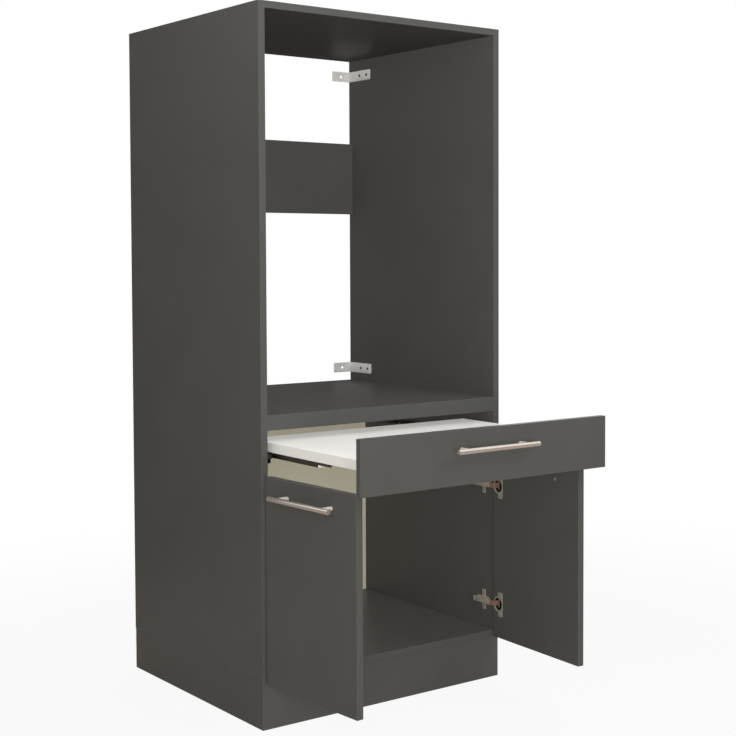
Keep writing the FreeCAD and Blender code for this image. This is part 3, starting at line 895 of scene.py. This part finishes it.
cup_model = hinge_cup()
ease(cup_model, CUP_EASE)
for side, mirror in (("left", 1), ("right", -1)):
    node = side + "_hinge_cups"
    turned = Matrix.Rotation(turn_of(node), 4, "Z")
    cups = []
    for points in solids_in(node):
        low, high = spread(points)
        near = low.x if mirror > 0 else high.x
        centre = Vector((near + mirror * RIM_RADIUS, high.y - CUP_RIM, (low.z + high.z) / 2))
        at = turned @ Matrix.Translation(centre) @ Matrix.Diagonal((mirror, 1, 1, 1))
        cups.append(copied(cup_model, at))
    # Painted shade inside the cup's hollow.
    cup_hollow_shade = (PAINTED_HOLLOW_SHADE, hollow_shade_of(node, high.y - CUP_RIM))
    stand_for(joined(cups), node, nickel(node + "_nickel", cup_hollow_shade))
bpy.data.objects.remove(cup_model)

# %% [markdown]
# ## Bent sheet and moulded blocks
# Rails, hinge arms, hinge plates and angle pieces are bent from sheet, and the runner's end blocks
# are moulded. Their solids are right but for one thing: a bend or a moulding has no knife edge. A
# copy of the solid is merged, its flat triangles are dissolved into whole faces, and its edges are
# rounded.

# %% Rounded copies
COPPERY = (142, 115, 98)
LINK_FADE = 4 * MM
LINK_INSIDE = 3 * MM
FLAT = radians(1)
ROUNDING = {
    "hinge_arms": 0.5 * MM, "hinge_plates": 0.45 * MM, "cabinet_rail": 0.4 * MM, "middle_rail": 0.4 * MM,
    "shelf_rail": 0.4 * MM, "rail_end_block": 0.8 * MM,
}
ANGLE_PIECE_ROUNDING = 0.4 * MM


def rounded_copy(node, width, material):
    piece = bpy.data.objects.new(node, nodes[node].data.copy())
    bpy.context.scene.collection.objects.link(piece)
    with editing(piece):
        bpy.ops.mesh.select_all(action="SELECT")
        bpy.ops.mesh.remove_doubles(threshold=TINY / 10)
        bpy.ops.mesh.dissolve_limited(angle_limit=FLAT)
    ease(piece, width)
    stand_for(piece, node, material)


def link_part(finish):
    """Says where a hinge arm has left the cupboard: that is its link."""
    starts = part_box("left_side_panel")[0].y + LINK_INSIDE
    return step(finish, axes(finish, place(finish))[1], starts, starts - LINK_FADE)


arm_nickel = nickel("hinge_arm_nickel", (COPPERY, link_part))
for side in ("left", "right"):
    for kind, width in ROUNDING.items():
        node = side + "_" + kind
        rounded_copy(node, width, arm_nickel if kind == "hinge_arms" else finishes[slot_of[node]])
rounded_copy("front_angle_brackets", ANGLE_PIECE_ROUNDING, finishes["galvanised_steel"])

# %% [markdown]
# ## Rollers
# A runner's roller is a turned nylon wheel: a tread with soft rims, a shallow recess on each side
# that saves material, and the axle on which it turns. All of it grows out of one cylinder: the rims
# are beveled, the sides are inset and pushed in, and the axle is drawn out of what is left in the
# middle.

# %% Rollers
RIM_EASE = 0.7 * MM
RECESS_WALL = 1.1 * MM
RECESS_DEPTH = 0.8 * MM
WHEEL_WIDTH = 10 * MM
AXLE_DISC = 1 * MM
MIDDLE_AXLE = 1.5 * MM
CABINET_AXLE = 2 * MM


def roller(node, wheel_middle, axle, disc):
    """A wheel on its axle along X, with a disc at each end of the axle where the real one has it."""
    low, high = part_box(node)
    centre = (low + high) / 2
    tread = (high.z - low.z) / 2
    wheel = cylinder(tread, WHEEL_WIDTH, (wheel_middle, centre.y, centre.z), (0, pi / 2, 0), 40)
    with editing(wheel):
        pick(wheel, "EDGE", lambda edge: abs(edge.verts[0].co.x - edge.verts[1].co.x) < TINY)
        bpy.ops.mesh.bevel(offset=RIM_EASE, segments=3, affect="EDGES")
        for side, end in ((-1, low.x), (1, high.x)):
            pick(wheel, "FACE", lambda face: face.normal.x * side > SQUARE_ON
                 and (face.calc_center_median().x - wheel_middle) * side > 0)
            bpy.ops.mesh.inset(thickness=RECESS_WALL)
            bpy.ops.mesh.inset(thickness=RECESS_DEPTH / 2, depth=-RECESS_DEPTH)
            bpy.ops.mesh.inset(thickness=tread - RIM_EASE - RECESS_WALL - RECESS_DEPTH / 2 - axle)
            from_face = wheel_middle + side * (WHEEL_WIDTH / 2 - RECESS_DEPTH)
            to_disc = end - side * disc - from_face
            bpy.ops.mesh.extrude_region_move(TRANSFORM_OT_translate={"value": (to_disc, 0, 0)})
            if disc > 0:
                bpy.ops.mesh.extrude_region_move()
                bpy.ops.transform.resize(value=(1, tread / axle, tread / axle))
                bpy.ops.mesh.extrude_region_move(TRANSFORM_OT_translate={"value": (side * disc, 0, 0)})
                bpy.ops.mesh.inset(thickness=RIM_EASE, depth=0.0)
                bpy.ops.mesh.inset(thickness=RIM_EASE / 2, depth=-RIM_EASE / 2)
    stand_for(wheel, node, finishes["white_nylon"])


for side in ("left", "right"):
    low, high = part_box(side + "_middle_roller")
    track_middle = (low.x + high.x) / 2
    roller(side + "_middle_roller", track_middle, MIDDLE_AXLE, AXLE_DISC)
    roller(side + "_cabinet_roller", track_middle, CABINET_AXLE, 0.0)

# %% [markdown]
# ## A white studio
# The cabinet stands in a white room. To the camera, and in mirrors, its walls are plain white. What
# they add to the light on the cabinet is set apart from that, so that the white doesn't wash out
# the boards.

# %% Studio world
AMBIENT = 0.44


def shows_background(finish):
    """True for what the camera sees, and for what it sees in a mirror or through glass."""
    seen, mirrored, through = [finish.node("ShaderNodeLightPath", output=name) for name in
                               ("Is Camera Ray", "Is Glossy Ray", "Is Transmission Ray")]
    return seen.most(mirrored).most(through)


studio = Finish("studio", "worlds", "ShaderNodeOutputWorld")
white_wall = studio.node("ShaderNodeBackground", None, {"Color": (1, 1, 1, 1), "Strength": 1.0})
ambient = studio.node("ShaderNodeBackground", None, {"Color": (1.0, 0.985, 0.96, 1), "Strength": AMBIENT})
bpy.context.scene.world = studio.surface(
    studio.node("ShaderNodeMixShader", None, {0: shows_background(studio), 1: ambient, 2: white_wall}))
print("ambient light", AMBIENT)

# %% [markdown]
# ## The floor
# The floor is a pale sheet that fades into the white round it. It glows a little for the camera
# alone, which keeps it nearly white and still leaves the soft shadow under the plinth.

# %% Floor
FLOOR_FADE_START = 0.9
FLOOR_FADE_END = 2.6
FLOOR_GLOW = 0.9
bpy.ops.object.select_all(action="DESELECT")
bpy.ops.mesh.primitive_grid_add(x_subdivisions=12, y_subdivisions=12, size=4 * FLOOR_FADE_END)
floor = bpy.context.object
floor.name = "studio_floor"
floor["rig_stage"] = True
floor_finish = Finish("studio_floor")
floor_place = place(floor_finish)
from_middle = floor_finish.node("ShaderNodeVectorMath", {"operation": "LENGTH"}, {0: floor_place}, 1)
paper = noise(floor_finish, floor_place, 3.0)
sheet = floor_finish.node("ShaderNodeBsdfDiffuse", None, {
    "Color": mix(floor_finish, paper, shade(176), shade(184))})
glow = floor_finish.node("ShaderNodeEmission", None, {"Color": (1, 1, 1, 1), "Strength": 1.0})
lit_floor = floor_finish.node("ShaderNodeMixShader", None, {
    0: shows_background(floor_finish) * FLOOR_GLOW, 1: sheet, 2: glow})
clear = floor_finish.node("ShaderNodeBsdfTransparent")
fade = step(floor_finish, from_middle, FLOOR_FADE_START, FLOOR_FADE_END)
floor.data.materials.append(floor_finish.surface(
    floor_finish.node("ShaderNodeMixShader", None, {0: fade, 1: lit_floor, 2: clear})))
print("floor fades out at", FLOOR_FADE_END, "m")

# %% [markdown]
# ## Cards for the reflections
# The niche has no back, so at a flat angle its floor and walls would mirror the white studio behind
# them and turn grey, and steel in a white room looks like paper. Photographers stand cards there,
# out of the picture: a black one behind the cabinet, and brown ones on the floor, in front and on
# the left, which give the handles a warm lower half. These show in reflections alone: the camera
# looks through them, and they cast no shadow.

# %% Cards
CARD_BEHIND = 1.0
CARD_HEIGHT = 3.0
CARD_WIDTH = 2.3
FLOOR_CARD = 9.0
LOW_CARD_HEIGHT = 2.4
CARD_OVER_FLOOR = 1 * MM


def felt(name, dark, light):
    finish = Finish(name)
    tone = noise(finish, place(finish), 20.0)
    return principled(finish, {"Base Color": mix(finish, tone, shade(dark), shade(light)), "Roughness": 0.9})


def card(name, size, middle, rotation, look):
    bpy.ops.object.select_all(action="DESELECT")
    bpy.ops.mesh.primitive_grid_add(x_subdivisions=8, y_subdivisions=8, size=1,
                                    rotation=rotation, location=middle)
    made = bpy.context.object
    made.name = name
    made.scale = (*size, 1)
    made.visible_camera = False
    made.visible_diffuse = False
    made.visible_transmission = False
    made.visible_shadow = False
    made.data.materials.append(look)
    made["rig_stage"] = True
    print(name, size, "m")


facing_front = (pi / 2, 0, 0)
facing_left = (pi / 2, 0, pi / 2)
black_felt = felt("black_felt", 60, 66)
behind = (0, solid_high.y + CARD_BEHIND, CARD_HEIGHT / 2)
card("card_behind", (CARD_WIDTH, CARD_HEIGHT), behind, facing_front, black_felt)
brown_felt = felt("brown_felt", (150, 137, 129), (162, 149, 141))
card("card_on_floor", (FLOOR_CARD, FLOOR_CARD), (0, 0, CARD_OVER_FLOOR), (0, 0, 0), brown_felt)
low_card = (2 * FLOOR_CARD, LOW_CARD_HEIGHT)
card("card_in_front", low_card, (0, -FLOOR_CARD / 2, LOW_CARD_HEIGHT / 2), facing_front, brown_felt)
card("card_at_left", low_card, (-FLOOR_CARD / 2, 0, LOW_CARD_HEIGHT / 2), facing_left, brown_felt)

# %% [markdown]
# ## Lamps
# The light comes from large lamps: one beside the camera, a low one that reaches into the cupboard,
# a smaller one in front on the right that draws the shadow under the handle, and one for the back.
# A fill without a shadow does what the pale walls of a studio do: it lifts the niche and the
# cupboard.

# %% Lamps
middle = (solid_low + solid_high) / 2


def lamp(name, direction, distance, size, level, colour, shadow=True):
    """A square lamp that lights a white surface facing it to this level. It shows in no reflection."""
    data = bpy.data.lights.new(name, "AREA")
    data.shape = "SQUARE"
    data.size = size
    data.energy = level * pi ** 2 * distance ** 2
    data.color = colour
    data.use_shadow = shadow
    made = bpy.data.objects.new(name, data)
    bpy.context.scene.collection.objects.link(made)
    out = Vector(direction).normalized()
    made.location = middle + out * distance
    made.rotation_euler = out.to_track_quat("Z", "Y").to_euler()
    made.visible_glossy = False
    return made


lamps = [
    lamp("camera_lamp", (-0.62, -0.75, 0.22), 4.2, 1.6, 0.22, (1.0, 0.99, 0.97)),
    lamp("low_lamp", (-0.30, -0.95, -0.06), 4.0, 1.0, 0.32, (1.0, 0.98, 0.94)),
    lamp("right_lamp", (0.45, -0.75, 0.55), 3.4, 0.9, 0.24, (1.0, 0.99, 0.97)),
    lamp("rear_lamp", (0.55, 0.80, 0.35), 4.0, 1.8, 0.26, (1.0, 1.0, 1.0)),
    lamp("upper_fill", (-0.42, -0.52, 0.74), 4.0, 1.8, 0.90, (1.0, 0.99, 0.97), shadow=False),
]
bpy.context.scene.view_settings.view_transform = "Standard"
print(len(lamps), "lamps round", [round(c, 2) for c in middle])

# %% [markdown]
# ## Sizes at the end
# The dressed cabinet has to be as large as the solids, so both boxes are kept, and how far the dressed one
# has grown is printed.

# %% The sizes at the end
dressed_low, dressed_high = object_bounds()
sizes = {
    "cad": [list(solid_low), list(solid_high)],
    "visual": [list(dressed_low), list(dressed_high)],
}
print("grown by", [round(c / MM, 2) for c in (dressed_high - solid_high)], "mm at the far corner")
